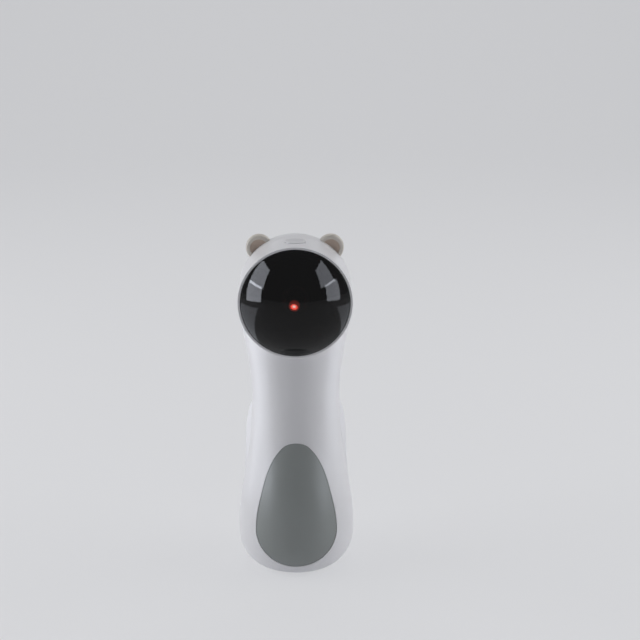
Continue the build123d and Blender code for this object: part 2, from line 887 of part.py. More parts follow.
# Mechanism chassis, pillars and gear plate
axle_places = (second_place, first_place)
with BuildPart() as chassis:
    with BuildSketch(on_face(plate_back)):
        Circle(plate_radius)
        with Locations(*pillar_places, *axle_places):
            Circle(lobe_radius)
        for angle in arm_angles:
            with Locations(Location(around(arm_reach / 2, angle), angle)):
                SlotOverall(arm_reach + 2 * arm_radius, 2 * arm_radius)
    extrude(amount=plate_thickness)
    with BuildSketch(on_face(plate_back)):
        Circle(bearing_radius)
    extrude(amount=bearing_length)
    with BuildSketch(on_face(gear_plate_front)):
        with Locations(*pillar_places):
            Circle(pillar_radius)
    extrude(amount=plate_back - gear_plate_front)
    with BuildSketch(on_face(plate_back)):
        Circle(journal_radius + running_gap)
    extrude(amount=overrun, mode=Mode.SUBTRACT)
    with BuildSketch(on_face(plate_back)):
        with Locations(*arm_places):
            Circle(small_shank_radius + fit_gap)
    extrude(amount=overrun, mode=Mode.SUBTRACT)
    with BuildSketch(on_face(plate_back)):
        with Locations(*axle_places):
            Circle(axle_radius)
    extrude(amount=axle_seat, mode=Mode.SUBTRACT)
    with BuildSketch(on_face(gear_plate_front)):
        with Locations(*pillar_places):
            Circle(small_shank_radius)
    extrude(amount=small_screw_length - gear_plate_thickness, mode=Mode.SUBTRACT)

motor_face = on_face(gear_plate_back, motor_place)
with BuildPart() as gear_plate:
    with BuildSketch(on_face(gear_plate_back)):
        Circle(plate_radius)
        with Locations(*pillar_places, *axle_places):
            Circle(lobe_radius)
        Circle(gear_plate_bore, mode=Mode.SUBTRACT)
    extrude(amount=gear_plate_thickness)
    with BuildSketch(motor_face):
        RectangleRounded(
            motor_width + 2 * motor_socket_wall,
            motor_height + 2 * motor_socket_wall,
            motor_socket_wall,
        )
    extrude(amount=-motor_socket_depth)
    with BuildSketch(motor_face):
        Rectangle(motor_width, motor_height)
    extrude(amount=-motor_socket_depth, mode=Mode.SUBTRACT)
    with BuildSketch(motor_face):
        Circle(motor_nose_radius)
    extrude(amount=gear_plate_thickness, mode=Mode.SUBTRACT)
    with BuildSketch(on_face(gear_plate_back)):
        with Locations(*pillar_places):
            Circle(small_shank_radius + fit_gap)
    extrude(amount=gear_plate_thickness, mode=Mode.SUBTRACT)
    with BuildSketch(on_face(gear_plate_front)):
        with Locations(*axle_places):
            Circle(axle_radius)
    extrude(amount=-axle_seat, mode=Mode.SUBTRACT)

with BuildPart() as gear_axles:
    with BuildSketch(on_face(gear_plate_front - axle_seat)):
        with Locations(*axle_places):
            Circle(axle_radius)
    extrude(amount=plate_back - gear_plate_front + 2 * axle_seat)

# Rotor with its slanted bore, and the ring that keeps it in the chassis
with BuildPart() as rotor_gear:
    extrude(gear_outline(on_face(rotor_back), rotor_module, rotor_teeth, second_bearing), amount=rotor_face)
    with BuildSketch(on_face(rotor_back)):
        Circle(journal_radius)
    extrude(amount=journal_front - rotor_back)
    with BuildSketch(on_face(rotor_front)):
        Circle(thrust_radius)
    extrude(amount=layer_gap - thrust_gap)
    with BuildSketch(on_beam(0)):
        Circle(holder_radius + running_gap)
    extrude(amount=-overrun, mode=Mode.SUBTRACT)
    with BuildSketch(on_beam(-flange_back - running_gap)):
        Circle(flange_radius + free_gap)
    extrude(amount=overrun, mode=Mode.SUBTRACT)

clip_front = plate_back + bearing_length + thrust_gap + clip_thickness
with BuildPart() as rotor_ring:
    with BuildSketch(on_face(clip_front)):
        Circle(clip_radius)
        Circle(journal_radius, mode=Mode.SUBTRACT)
    extrude(amount=-clip_thickness)

# Reduction gears and the motor pinion
second_pinion_turn = second_bearing + pi + pi / pinion_teeth
with BuildPart() as second_gear:
    plane = on_face(second_front, second_place)
    pinion_length = plate_back - free_gap - second_front
    extrude(gear_outline(plane, rotor_module, pinion_teeth, second_pinion_turn), amount=pinion_length)
    extrude(gear_outline(plane, train_module, second_teeth, first_bearing), amount=-train_face)
    with BuildSketch(plane):
        Circle(hub_radius)
    extrude(amount=gear_plate_front + free_gap - second_front)
    with BuildSketch(plane):
        Circle(axle_radius + running_gap)
    extrude(amount=overrun, both=True, mode=Mode.SUBTRACT)

first_pinion_turn = first_bearing + pi + pi / pinion_teeth
with BuildPart() as first_gear:
    plane = on_face(first_front, first_place)
    pinion_length = second_front + layer_gap / 2 - first_front
    extrude(gear_outline(plane, train_module, pinion_teeth, first_pinion_turn), amount=pinion_length)
    extrude(gear_outline(plane, train_module, first_teeth, motor_bearing), amount=-train_face)
    with BuildSketch(plane):
        Circle(small_hub_radius)
    extrude(amount=plate_back - free_gap - first_front)
    with BuildSketch(plane):
        Circle(small_hub_radius)
    extrude(amount=gear_plate_front + free_gap - first_front)
    with BuildSketch(plane):
        Circle(axle_radius + running_gap)
    extrude(amount=overrun, both=True, mode=Mode.SUBTRACT)

motor_pinion_turn = motor_bearing + pi + pi / motor_teeth
with BuildPart() as motor_pinion:
    plane = on_face(first_front + layer_gap / 2, motor_place)
    extrude(gear_outline(plane, train_module, motor_teeth, motor_pinion_turn), amount=-train_face - layer_gap / 2)
    with BuildSketch(plane):
        Circle(axle_radius)
    extrude(amount=-overrun, mode=Mode.SUBTRACT)

# Motor
with BuildPart() as motor_can:
    with BuildSketch(motor_face):
        Circle(motor_width / 2)
        Rectangle(motor_width, motor_height, mode=Mode.INTERSECT)
    extrude(amount=-motor_length)
    with BuildSketch(motor_face):
        Circle(motor_nose_radius)
    extrude(amount=motor_nose)
    with BuildSketch(motor_face.offset(motor_nose)):
        Circle(axle_radius + running_gap)
    extrude(amount=-motor_length / 2, mode=Mode.SUBTRACT)

with BuildPart() as motor_shaft:
    with BuildSketch(on_face(first_front + layer_gap / 2, motor_place)):
        Circle(axle_radius)
    extrude(amount=gear_plate_back - first_front - layer_gap / 2 - motor_length / 4)

motor_back = motor_face.offset(-motor_length)
with BuildPart() as motor_end_cap:
    with BuildSketch(motor_back):
        Circle(motor_width / 2 - motor_cap_inset)
        Rectangle(motor_width, motor_height - 2 * motor_cap_inset, mode=Mode.INTERSECT)
    extrude(amount=-motor_cap_length)

with BuildPart() as motor_terminals:
    with BuildSketch(motor_back.offset(-motor_cap_length)):
        with Locations((-terminal_spread, 0), (terminal_spread, 0)):
            Rectangle(terminal_thickness, terminal_width)
    extrude(amount=-terminal_length)

# Laser: barrel and lens in a holder that turns back in the rotor's slanted bore
with BuildPart() as laser_holder:
    with BuildSketch(on_beam(-holder_back)):
        Circle(holder_radius)
    extrude(amount=holder_back - flange_back)
    with BuildSketch(on_beam(-flange_back)):
        Circle(flange_radius)
    extrude(amount=flange_thickness)
    with BuildSketch(on_beam(barrel_front - barrel_length)):
        Circle(barrel_radius)
    extrude(amount=overrun, mode=Mode.SUBTRACT)
    with BuildSketch(on_beam(-holder_back)):
        Circle(driver_recess)
    extrude(amount=overrun, mode=Mode.SUBTRACT)

with BuildPart() as laser_barrel:
    with BuildSketch(on_beam(barrel_front - barrel_length)):
        Circle(barrel_radius)
    extrude(amount=barrel_length)
    fillet(laser_barrel.edges().sort_by(Axis((0, -pivot_depth, face_height), on_beam(0).z_dir))[-1], barrel_edge)
    with BuildSketch(on_beam(barrel_front)):
        Circle(lens_radius)
    extrude(amount=-lens_sink - lens_thickness, mode=Mode.SUBTRACT)

lens_dome = lens_sink / 2
with BuildPart() as laser_lens:
    with BuildSketch(on_beam(barrel_front - lens_sink - lens_thickness)):
        Circle(lens_radius)
    extrude(amount=lens_thickness)
    fillet(laser_lens.edges().sort_by(Axis((0, -pivot_depth, face_height), on_beam(0).z_dir))[-1], lens_dome)

with BuildPart() as holder_ring:
    with BuildSketch(on_beam(-ring_back)):
        Circle(ring_radius)
        Circle(holder_radius, mode=Mode.SUBTRACT)
    extrude(amount=ring_thickness)

with BuildPart() as driver_board:
    with BuildSketch(on_beam(barrel_front - barrel_length)):
        Rectangle(driver_width, driver_thickness)
    extrude(amount=-driver_length)

# Main circuit board and what stands on it
board_height = board_top - board_bottom
board_plane = facing(board_depth, 0, (board_bottom + board_top) / 2)
board_back = board_plane.offset(-board_thickness)
board_hole_places = [
    (side * board_post_spread, end * (board_height / 2 - board_post_inset)) for side in (-1, 1) for end in (-1, 1)
]
with BuildPart() as main_board:
    with BuildSketch(board_plane):
        RectangleRounded(board_width, board_height, board_corner)
        with Locations(*board_hole_places):
            Circle(small_shank_radius + fit_gap, mode=Mode.SUBTRACT)
    extrude(amount=-board_thickness)

with BuildPart() as controller_chip:
    with BuildSketch(board_back):
        with Locations((0, chip_rise)):
            Rectangle(chip_width, chip_length)
    extrude(amount=-chip_height)

with BuildPart() as board_capacitor:
    with BuildSketch(board_back):
        with Locations((-capacitor_side, 0)):
            Circle(capacitor_radius)
    extrude(amount=-capacitor_length)

with BuildPart() as board_plug:
    with BuildSketch(board_back):
        with Locations((0, plug_inset - board_height / 2)):
            Rectangle(plug_width, plug_length)
    extrude(amount=-plug_height)

# Cells and contacts
cell_ends = [1 if index % 2 else -1 for index in range(cell_count)]
with BuildPart() as battery_cells:
    for side, end in zip(cell_sides, cell_ends):
        low = bay_bottom + (contact_thickness + nub_height if end > 0 else leaf_height)
        with BuildSketch(Plane((side, cell_depth, low))):
            Circle(cell_radius)
        extrude(amount=cell_length)
        nub_plane = Plane((side, cell_depth, low if end > 0 else low + cell_length), x_dir=(1, 0, 0), z_dir=(0, 0, -end))
        with BuildSketch(nub_plane):
            Circle(nub_radius)
        extrude(amount=nub_height)

with BuildPart() as contact_leaves:
    for side, end in zip(cell_sides, cell_ends):
        seat = Plane((side - leaf_width / 2, cell_depth, bay_top if end > 0 else bay_bottom), x_dir=(0, 1, 0), z_dir=(1, 0, 0))
        low = -end * leaf_gauge / 2
        high = -end * (leaf_height - leaf_gauge / 2)
        step = leaf_step_share * leaf_span
        with BuildSketch(seat):
            with BuildLine():
                Polyline((leaf_span / 2, low), (-leaf_span / 2, low), (-step / 2, high), (step, high))
            trace(line_width=leaf_gauge)
        extrude(amount=leaf_width)

with BuildPart() as contact_plates:
    for side, end in zip(cell_sides, cell_ends):
        height = bay_bottom + contact_thickness / 2 if end > 0 else bay_top - contact_thickness / 2
        with BuildSketch(Plane((side, cell_depth, height))):
            Rectangle(contact_size, contact_size)
        extrude(amount=contact_thickness / 2, both=True)

# Fasteners that share a size
case_screws = pan_screws(
    [
        Plane((side, seam_depth + case_seat_rise, height), x_dir=(1, 0, 0), z_dir=(0, 1, 0))
        for side, height in case_places
    ],
    case_head_radius,
    case_head_height,
    case_shank_radius,
    case_screw_length,
)
chassis_screws = pan_screws(
    [
        Plane((side, -plate_back, face_height + rise), x_dir=(1, 0, 0), z_dir=(0, 1, 0))
        for side, rise in arm_places
    ],
    small_head_radius,
    small_head_height,
    small_shank_radius,
    small_screw_length,
)
plate_screws = pan_screws(
    [
        Plane((side, -gear_plate_back, face_height + rise), x_dir=(1, 0, 0), z_dir=(0, 1, 0))
        for side, rise in pillar_places
    ],
    small_head_radius,
    small_head_height,
    small_shank_radius,
    small_screw_length,
)
board_screws = pan_screws(
    [
        Plane((side, board_thickness - board_depth, height), x_dir=(1, 0, 0), z_dir=(0, 1, 0))
        for side, height in board_post_places
    ],
    small_head_radius,
    small_head_height,
    small_shank_radius,
    small_screw_length,
)

pieces = {
    "front_shell": front_shell,
    "rear_shell": rear_shell,
    "face_dome": face_dome,
    "belly_panel": belly_panel,
    "left_ear": ears["left"],
    "right_ear": ears["right"],
    "left_ear_pad": ear_pads["left"],
    "right_ear_pad": ear_pads["right"],
    "crown_button": crown_button,
    "switch_plunger": switch_plunger,
    "tact_switch": tact_switch,
    "switch_board": switch_board,
    "switch_screws": switch_screws,
    "chassis": chassis,
    "chassis_screws": chassis_screws,
    "gear_plate": gear_plate,
    "plate_screws": plate_screws,
    "gear_axles": gear_axles,
    "rotor_gear": rotor_gear,
    "rotor_ring": rotor_ring,
    "second_gear": second_gear,
    "first_gear": first_gear,
    "motor_pinion": motor_pinion,
    "motor_shaft": motor_shaft,
    "motor_can": motor_can,
    "motor_end_cap": motor_end_cap,
    "motor_terminals": motor_terminals,
    "laser_holder": laser_holder,
    "laser_barrel": laser_barrel,
    "laser_lens": laser_lens,
    "holder_ring": holder_ring,
    "driver_board": driver_board,
    "main_board": main_board,
    "controller_chip": controller_chip,
    "board_capacitor": board_capacitor,
    "board_plug": board_plug,
    "board_screws": board_screws,
    "battery_cells": battery_cells,
    "contact_leaves": contact_leaves,
    "contact_plates": contact_plates,
    "battery_door": battery_door,
    "case_screws": case_screws,
    "base_pad": base_pad,
}
for name, piece in pieces.items():
    piece.part.label = name
    export_step(piece.part, f"parts/{name}.step")
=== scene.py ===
"""Dresses an automatic pet laser tower: a waisted white casing with ears, a dark dome and a grey belly."""

import logging
import math
from dataclasses import dataclass, field
from enum import Enum
from typing import Any

import bpy
import numpy as np
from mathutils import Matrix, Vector


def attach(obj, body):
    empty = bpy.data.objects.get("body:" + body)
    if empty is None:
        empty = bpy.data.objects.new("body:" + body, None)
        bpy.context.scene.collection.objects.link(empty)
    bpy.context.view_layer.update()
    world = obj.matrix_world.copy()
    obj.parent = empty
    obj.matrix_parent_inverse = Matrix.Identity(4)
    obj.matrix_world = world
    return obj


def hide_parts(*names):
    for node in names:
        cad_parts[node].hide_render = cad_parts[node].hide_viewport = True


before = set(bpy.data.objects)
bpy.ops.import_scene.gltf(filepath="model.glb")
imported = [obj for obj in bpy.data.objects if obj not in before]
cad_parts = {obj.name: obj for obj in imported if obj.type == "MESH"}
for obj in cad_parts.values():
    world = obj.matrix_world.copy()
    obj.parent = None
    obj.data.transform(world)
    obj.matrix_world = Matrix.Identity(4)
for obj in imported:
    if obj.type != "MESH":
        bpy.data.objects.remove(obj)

LOG = logging.getLogger("laser_tower")
MM = 0.001

# Middle of the lens's front face at rest
LENS_MIDDLE_MM = (-0.64, -30.17, 172.73)

Colour = tuple[float, float, float, float]
Place = tuple[float, float, float]
Node = bpy.types.ShaderNode
Socket = bpy.types.NodeSocket
Tree = bpy.types.ShaderNodeTree

# The Mix node gives its sockets for numbers and for colours the same names, so they go by number
MIX_SHARE, MIX_LOW, MIX_HIGH, MIX_LOW_COLOUR, MIX_HIGH_COLOUR = 0, 2, 3, 6, 7
MIXED, MIXED_COLOUR = 0, 2


def linear(code: str) -> Colour:
    """Turns an sRGB hex colour to linear light.

    Args:
        code: Six hex digits after a hash sign.

    Returns:
        Red, green, blue and an alpha of one.
    """
    parts = np.array([int(code[at : at + 2], 16) for at in (1, 3, 5)]) / 255
    low = parts / 12.92
    high = ((parts + 0.055) / 1.055) ** 2.4
    return (*(float(part) for part in np.where(parts <= 0.04045, low, high)), 1.0)


def per_metre(size_mm: float) -> float:
    """Returns the texture scale whose features are `size_mm` wide."""
    return 1 / (size_mm * MM)


def add_node(
    tree: Tree,
    kind: str,
    settings: dict[Any, Any] | None = None,
    links: dict[Any, Socket] | None = None,
    feeds: dict[Any, Socket] | None = None,
) -> Node:
    """Adds one shader node with its settings and links.

    Args:
        tree: Node tree that takes the node.
        kind: Blender's name for the node's type.
        settings: Values by socket name or number, or by property name.
        links: Output sockets by the name or number of the input that they feed.
        feeds: Input sockets by the name or number of the output that feeds them.

    Returns:
        The new node.
    """
    node = tree.nodes.new(kind)
    for key, value in (settings or {}).items():
        if isinstance(key, int) or key in node.inputs:
            node.inputs[key].default_value = value
        else:
            setattr(node, key, value)
    for key, source in (links or {}).items():
        tree.links.new(source, node.inputs[key])
    for key, target in (feeds or {}).items():
        tree.links.new(node.outputs[key], target)
    return node


class Grain(Enum):
    """Way that a metal's surface was worked, and the scale of its lines along x, y and z."""

    TURNED = (1.0, 1.0, 12.0)
    ROLLED = (1.0, 14.0, 14.0)
    PLATED = (1.0, 1.0, 1.0)


@dataclass(frozen=True)
class Finish:
    """A surface finish that makes its own material.

    Attributes:
        name: Name of the material.
        colour: Main colour, as sRGB hex.
        roughness: Roughness of the plain surface.
    """

    name: str
    colour: str
    roughness: float

    def material(self) -> bpy.types.Material:
        """Makes a node material of this finish.

        Returns:
            The new material.
        """
        material = bpy.data.materials.new(self.name)
        material.use_nodes = True
        material.diffuse_color = linear(self.colour)
        tree = material.node_tree
        shader = tree.nodes["Principled BSDF"]
        shader.inputs["Base Color"].default_value = linear(self.colour)
        shader.inputs["Roughness"].default_value = self.roughness
        place = add_node(tree, "ShaderNodeTexCoord").outputs["Object"]
        self.shade(tree, shader, place)
        return material

    def shade(self, tree: Tree, shader: Node, place: Socket) -> None:
        """Adds what this finish shows to the shader.

        Args:
            tree: The material's node tree.
            shader: Its main shader.
            place: Object coordinates, in metres.
        """
        raise NotImplementedError


@dataclass(frozen=True)
class MouldedPlastic(Finish):
    """Injection-moulded ABS: an even colour, a fine spark-eroded grain and faint flow in the gloss.

    Attributes:
        shade_colour: Colour of the slow variation, as sRGB hex.
        grain_mm: Width of the grain.
        grain_depth_mm: Depth of the grain.
        flow_mm: Width of the slow variation.
        flow_swing: Share by which the roughness swings with it.
        coat: Weight of the skin gloss.
        coat_roughness: Roughness of the skin gloss.
        ior: Index of refraction.
    """

    shade_colour: str = "#ffffff"
    grain_mm: float = 0.7
    grain_depth_mm: float = 0.006
    flow_mm: float = 38.0
    flow_swing: float = 0.12
    coat: float = 0.0
    coat_roughness: float = 0.12
    ior: float = 1.52

    def shade(self, tree: Tree, shader: Node, place: Socket) -> None:
        """Adds flow in colour and gloss, and the mould's grain, drawn coarser than real so that it shows.

        Args:
            tree: The material's node tree.
            shader: Its main shader.
            place: Object coordinates, in metres.
        """
        shader.inputs["IOR"].default_value = self.ior
        shader.inputs["Coat Weight"].default_value = self.coat
        shader.inputs["Coat Roughness"].default_value = self.coat_roughness
        flow = add_node(
            tree,
            "ShaderNodeTexNoise",
            {"Scale": per_metre(self.flow_mm), "Detail": 3.0},
            {"Vector": place},
        )
        add_node(
            tree,
            "ShaderNodeMix",
            {
                "data_type": "RGBA",
                MIX_LOW_COLOUR: linear(self.colour),
                MIX_HIGH_COLOUR: linear(self.shade_colour),
            },
            {MIX_SHARE: flow.outputs["Fac"]},
            {MIXED_COLOUR: shader.inputs["Base Color"]},
        )
        add_node(
            tree,
            "ShaderNodeMapRange",
            {
                "To Min": self.roughness * (1 - self.flow_swing),
                "To Max": self.roughness * (1 + self.flow_swing),
            },
            {"Value": flow.outputs["Fac"]},
            {"Result": shader.inputs["Roughness"]},
        )
        grain = add_node(
            tree,
            "ShaderNodeTexNoise",
            {"Scale": per_metre(self.grain_mm), "Detail": 2.0},
            {"Vector": place},
        )
        add_node(
            tree,
            "ShaderNodeBump",
            {"Distance": self.grain_depth_mm * MM},
            {"Height": grain.outputs["Fac"]},
            {"Normal": shader.inputs["Normal"]},
        )


@dataclass(frozen=True)
class SmokedDome(Finish):
    """Smoked polycarbonate, polished in the mould: nearly black, a sharp mirror, with a little light through.

    Attributes:
        through: Colour that passes, as sRGB hex.
        ior: Index of refraction, low because the photographed dome mirrors little.
        dust_mm: Width of the dusty patches.
        dust_range: Values of the patches' noise at which the dust begins and is full.
        dulling: Times that full dust makes the polish rougher.
    """

    through: str = "#2a2626"
    ior: float = 1.32
    dust_mm: float = 9.0
    dust_range: tuple[float, float] = (0.45, 0.8)
    dulling: float = 2.5

    def shade(self, tree: Tree, shader: Node, place: Socket) -> None:
        """Adds the smoke's transmission and a trace of dust that dulls the polish.

        Args:
            tree: The material's node tree.
            shader: Its main shader.
            place: Object coordinates, in metres.
        """
        shader.inputs["Base Color"].default_value = linear(self.through)
        shader.inputs["IOR"].default_value = self.ior
        shader.inputs["Transmission Weight"].default_value = 1.0
        dust = add_node(
            tree,
            "ShaderNodeTexNoise",
            {"Scale": per_metre(self.dust_mm), "Detail": 6.0},
            {"Vector": place},
        )
        begun, full = self.dust_range
        add_node(
            tree,
            "ShaderNodeMapRange",
            {
                "From Min": begun,
                "From Max": full,
                "To Min": self.roughness,
                "To Max": self.roughness * self.dulling,
            },
            {"Value": dust.outputs["Fac"]},
            {"Result": shader.inputs["Roughness"]},
        )


@dataclass(frozen=True)
class WorkedMetal(Finish):
    """Bare or plated metal, with the fine lines of how it was worked.

    Attributes:
        grain: How the surface was worked.
        line_mm: Width of the lines.
        line_depth_mm: Depth of the lines.
        line_swing: Share by which the roughness swings with the lines.
        tarnish: Colour of the duller patches, as sRGB hex.
        tarnish_mm: Width of those patches.
        tarnish_range: Values of the patches' noise at which the tarnish begins and is full.
        tarnish_share: Share of the tarnish's colour where it is full.
    """

    grain: Grain = Grain.PLATED
    line_mm: float = 0.25
    line_depth_mm: float = 0.004
    line_swing: float = 0.3
    tarnish: str = "#6d6a66"
    tarnish_mm: float = 6.0
    tarnish_range: tuple[float, float] = (0.5, 0.85)
    tarnish_share: float = 0.5

    def shade(self, tree: Tree, shader: Node, place: Socket) -> None:
        """Adds work lines to the gloss and relief, and a slow tarnish.

        Args:
            tree: The material's node tree.
            shader: Its main shader.
            place: Object coordinates, in metres.
        """
        shader.inputs["Metallic"].default_value = 1.0
        stretched = add_node(tree, "ShaderNodeMapping", {"Scale": self.grain.value}, {"Vector": place})
        lines = add_node(
            tree,
            "ShaderNodeTexNoise",
            {"Scale": per_metre(self.line_mm) / max(self.grain.value), "Detail": 4.0},
            {"Vector": stretched.outputs["Vector"]},
        )
        add_node(
            tree,
            "ShaderNodeMapRange",
            {
                "To Min": self.roughness * (1 - self.line_swing),
                "To Max": self.roughness * (1 + self.line_swing),
            },
            {"Value": lines.outputs["Fac"]},
            {"Result": shader.inputs["Roughness"]},
        )
        patch = add_node(
            tree,
            "ShaderNodeTexNoise",
            {"Scale": per_metre(self.tarnish_mm), "Detail": 5.0},
            {"Vector": place},
        )
        begun, full = self.tarnish_range
        dull = add_node(
            tree,
            "ShaderNodeMapRange",
            {"From Min": begun, "From Max": full, "To Max": self.tarnish_share},
            {"Value": patch.outputs["Fac"]},
        )
        add_node(
            tree,
            "ShaderNodeMix",
            {"data_type": "RGBA", MIX_LOW_COLOUR: linear(self.colour), MIX_HIGH_COLOUR: linear(self.tarnish)},
            {MIX_SHARE: dull.outputs["Result"]},
            {MIXED_COLOUR: shader.inputs["Base Color"]},
        )
        add_node(
            tree,
            "ShaderNodeBump",
            {"Distance": self.line_depth_mm * MM},
            {"Height": lines.outputs["Fac"]},
            {"Normal": shader.inputs["Normal"]},
        )


@dataclass(frozen=True)
class FootRubber(Finish):
    """Moulded rubber: matt, with a pebbled skin and a paler bloom.

    Attributes:
        bloom: Colour of the bloom, as sRGB hex.
        bloom_mm: Width of the bloom's patches.
        pebble_mm: Width of the pebbles.
        pebble_depth_mm: Height of the pebbles.
        specular: Level of the plain reflection.
    """

    bloom: str = "#4a4a4a"
    bloom_mm: float = 7.0
    pebble_mm: float = 0.9
    pebble_depth_mm: float = 0.08
    specular: float = 0.3

    def shade(self, tree: Tree, shader: Node, place: Socket) -> None:
        """Adds the pebbles as relief and the bloom as colour.

        Args:
            tree: The material's node tree.
            shader: Its main shader.
            place: Object coordinates, in metres.
        """
        shader.inputs["Specular IOR Level"].default_value = self.specular
        pebble = add_node(
            tree,
            "ShaderNodeTexVoronoi",
            {"Scale": per_metre(self.pebble_mm)},
            {"Vector": place},
        )
        bloom = add_node(
            tree,
            "ShaderNodeTexNoise",
            {"Scale": per_metre(self.bloom_mm), "Detail": 5.0},
            {"Vector": place},
        )
        add_node(
            tree,
            "ShaderNodeMix",
            {"data_type": "RGBA", MIX_LOW_COLOUR: linear(self.colour), MIX_HIGH_COLOUR: linear(self.bloom)},
            {MIX_SHARE: bloom.outputs["Fac"]},
            {MIXED_COLOUR: shader.inputs["Base Color"]},
        )
        add_node(
            tree,
            "ShaderNodeBump",
            {"Distance": self.pebble_depth_mm * MM},
            {"Height": pebble.outputs["Distance"]},
            {"Normal": shader.inputs["Normal"]},
        )


@dataclass(frozen=True)
class SolderMask(Finish):
    """Green solder mask over glass epoxy: copper tracks show as paler lines under the gloss.

    Attributes:
        track: Colour over the copper, as sRGB hex.
        pitch_mm: Distance between tracks.
        track_share: Width of a track, in pitches.
        run: Length of a track, in pitches.
        copper_mm: Height of the tracks under the mask, deeper than real so that it shows.
        coat: Weight of the mask's gloss.
        coat_roughness: Roughness of the mask's gloss.
    """

    track: str = "#2f7a4b"
    pitch_mm: float = 1.27
    track_share: float = 0.16
    run: float = 7.0
    copper_mm: float = 0.03
    coat: float = 0.4
    coat_roughness: float = 0.15

    def shade(self, tree: Tree, shader: Node, place: Socket) -> None:
        """Adds tracks in a brick pattern at the board's pitch, raised a little.

        Args:
            tree: The material's node tree.
            shader: Its main shader.
            place: Object coordinates, in metres.
        """
        shader.inputs["Coat Weight"].default_value = self.coat
        shader.inputs["Coat Roughness"].default_value = self.coat_roughness
        upright = (math.radians(90), 0.0, 0.0)
        turned = add_node(tree, "ShaderNodeMapping", {"Rotation": upright}, {"Vector": place})
        tracks = add_node(
            tree,
            "ShaderNodeTexBrick",
            {
                "Color1": linear(self.colour),
                "Color2": linear(self.colour),
                "Mortar": linear(self.track),
                "Scale": 1.0,
                "Mortar Size": self.track_share * self.pitch_mm * MM,
                "Brick Width": self.run * self.pitch_mm * MM,
                "Row Height": self.pitch_mm * MM,
            },
            {"Vector": turned.outputs["Vector"]},
            {"Color": shader.inputs["Base Color"]},
        )
        add_node(
            tree,
            "ShaderNodeBump",
            {"Distance": self.copper_mm * MM},
            {"Height": tracks.outputs["Fac"]},
            {"Normal": shader.inputs["Normal"]},
        )


@dataclass(frozen=True)
class CellSleeve(Finish):
    """Shrink sleeve of alkaline cells: dark, with a metallic copper band at the plus end.

    Attributes:
        band: Colour of the band, as sRGB hex.
        low_mm: Height just below the cells.
        high_mm: Height just above them.
        half_pitch_mm: Half the distance between cells; the middle one stands upside down.
        band_share: Share of the length that the band takes.
        crease_mm: Width of the sleeve's creases.
        crease_depth_mm: Depth of the creases.
    """

    band: str = "#b87a45"
    low_mm: float = 16.0
    high_mm: float = 72.0
    half_pitch_mm: float = 7.6
    band_share: float = 0.3
    crease_mm: float = 5.0
    crease_depth_mm: float = 0.05

    def shade(self, tree: Tree, shader: Node, place: Socket) -> None:
        """Measures the height from each cell's minus end and colours its plus end.

        Args:
            tree: The material's node tree.
            shader: Its main shader.
            place: Object coordinates, in metres.
        """
        parts = add_node(tree, "ShaderNodeSeparateXYZ", None, {0: place})
        share = add_node(
            tree,
            "ShaderNodeMapRange",
            {"From Min": self.low_mm * MM, "From Max": self.high_mm * MM},
            {"Value": parts.outputs["Z"]},
        ).outputs["Result"]
        aside = add_node(tree, "ShaderNodeMath", {"operation": "ABSOLUTE"}, {0: parts.outputs["X"]})
        outer = add_node(
            tree,
            "ShaderNodeMath",
            {"operation": "GREATER_THAN", 1: self.half_pitch_mm * MM},
            {0: aside.outputs[0]},
        )
        turned = add_node(tree, "ShaderNodeMath", {"operation": "SUBTRACT", 0: 1.0}, {1: share})
        along = add_node(
            tree,
            "ShaderNodeMix",
            None,
            {MIX_SHARE: outer.outputs[0], MIX_LOW: turned.outputs[0], MIX_HIGH: share},
        )
        plus = add_node(
            tree,
            "ShaderNodeMath",
            {"operation": "GREATER_THAN", 1: 1 - self.band_share},
            {0: along.outputs[MIXED]},
            {0: shader.inputs["Metallic"]},
        )
        add_node(
            tree,
            "ShaderNodeMix",
            {"data_type": "RGBA", MIX_LOW_COLOUR: linear(self.colour), MIX_HIGH_COLOUR: linear(self.band)},
            {MIX_SHARE: plus.outputs[0]},
            {MIXED_COLOUR: shader.inputs["Base Color"]},
        )
        crease = add_node(
            tree,
            "ShaderNodeTexNoise",
            {"Scale": per_metre(self.crease_mm), "Detail": 3.0},
            {"Vector": place},
        )
        add_node(
            tree,
            "ShaderNodeBump",
            {"Distance": self.crease_depth_mm * MM},
            {"Height": crease.outputs["Fac"]},
            {"Normal": shader.inputs["Normal"]},
        )


def from_lens(tree: Tree, place: Socket) -> Socket:
    """Measures how far a surface lies from the middle of the lens.

    Args:
        tree: The material's node tree.
        place: Object coordinates, in metres.

    Returns:
        The distance, in metres.
    """
    middle = tuple(part * MM for part in LENS_MIDDLE_MM)
    away = add_node(tree, "ShaderNodeVectorMath", {"operation": "DISTANCE", 1: middle}, {0: place})
    return away.outputs["Value"]


